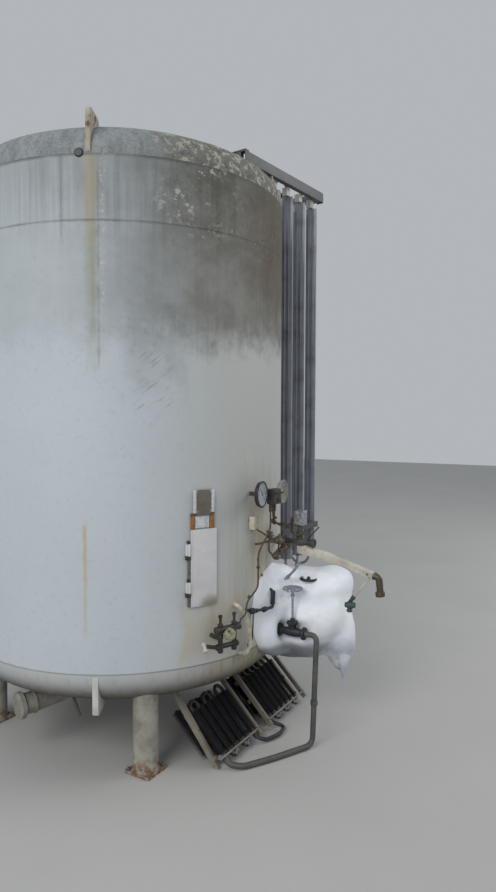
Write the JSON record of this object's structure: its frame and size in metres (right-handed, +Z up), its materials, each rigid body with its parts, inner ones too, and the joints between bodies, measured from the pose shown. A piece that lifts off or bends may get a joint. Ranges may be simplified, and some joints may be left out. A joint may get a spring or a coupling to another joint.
{
  "type": "cryogenic liquid oxygen tank",
  "caption": "Upright vacuum-jacketed cryogenic tank on pipe legs, with dished ends, a star-fin vaporiser bank, finned coils below, gauges, valves and ice on its draw pipework.",
  "frame": {"origin": "on the ground, under the centre of the jacket", "axes": "+Z up along the jacket's axis; -Y the front, where the gauges, valves and coils are; +X to the right, towards the vaporiser bank"},
  "size_m": [2.9523, 3.2312, 4.465],
  "materials": {
    "jacket_paint": "matt light grey paint, chalked and streaked",
    "head_paint": "flaking grey paint with lichen",
    "leg_paint": "dirty off-white paint with rust at the edges",
    "pipe_steel": "dark weathered steel",
    "rail_steel": "dark galvanised steel, dull",
    "fin_aluminium": "dull oxidised extrusion",
    "coil_aluminium": "dark dusty fins",
    "frosted_iron": "iron under hoar frost",
    "box_aluminium": "cast and weathered",
    "plate_aluminium": "dull engraved plate, left blank",
    "white_paint": "off-white, dirty at the edges",
    "rusty_steel": "orange rust through paint",
    "gauge_black": "black enamel",
    "aged_brass": "tarnished",
    "ice": "white rime over clear ice"
  },
  "bodies": {
    "tank": {"shell_course_lower": "jacket_paint", "shell_course_upper": "jacket_paint", "top_head": "head_paint", "bottom_head": "jacket_paint", "leg_front_left": "leg_paint", "leg_front_right": "leg_paint", "leg_rear_right": "leg_paint", "leg_rear_left": "leg_paint", "lifting_lug_left": "leg_paint", "lifting_lug_right": "leg_paint", "tie_lug_left": "leg_paint", "tie_lug_right": "leg_paint", "evacuation_port": "leg_paint", "evacuation_cover": "leg_paint", "purge_tube": "pipe_steel", "vaporiser_rail_front": "rail_steel", "vaporiser_rail_rear": "rail_steel", "vaporiser_tie_left": "rail_steel", "vaporiser_tie_right": "rail_steel", "vaporiser_shoulder_bracket": "leg_paint", "vaporiser_tubes_front": "fin_aluminium", "vaporiser_tubes_rear": "fin_aluminium", "vaporiser_bar_front": "rail_steel", "vaporiser_bar_rear": "rail_steel", "coil_left_frame": "leg_paint", "coil_right_frame": "leg_paint", "coil_left_tubes": "coil_aluminium", "coil_right_tubes": "coil_aluminium", "draw_valve": "pipe_steel", "riser_pipe": "pipe_steel", "fill_line": "pipe_steel", "actuator_box": "box_aluminium", "fill_arm": "white_paint", "fill_coupling": "aged_brass", "hose_valve": "pipe_steel", "contents_gauge": "gauge_black", "pressure_gauge": "gauge_black", "gauge_bar": "pipe_steel", "gauge_block": "pipe_steel", "gauge_lines": "pipe_steel", "impulse_line": "pipe_steel", "bracket_pad": "white_paint", "fill_manifold": "pipe_steel", "fill_connection": "aged_brass", "cable_conduit": "white_paint", "nameplate": "plate_aluminium", "sign_bracket": "rusty_steel", "notice_board": "white_paint", "ice_mass": "ice"},
    "valve_wheel": {"draw_valve_handwheel": "frosted_iron"}
  },
  "joints": [
    {"name": "valve_wheel_turn", "type": "hinge", "parent": "tank", "child": "valve_wheel", "pos_m": [0.15, -1.373, 1.1], "axis": [0, 0, 1], "range_deg": [-1080, 0]}
  ]
}
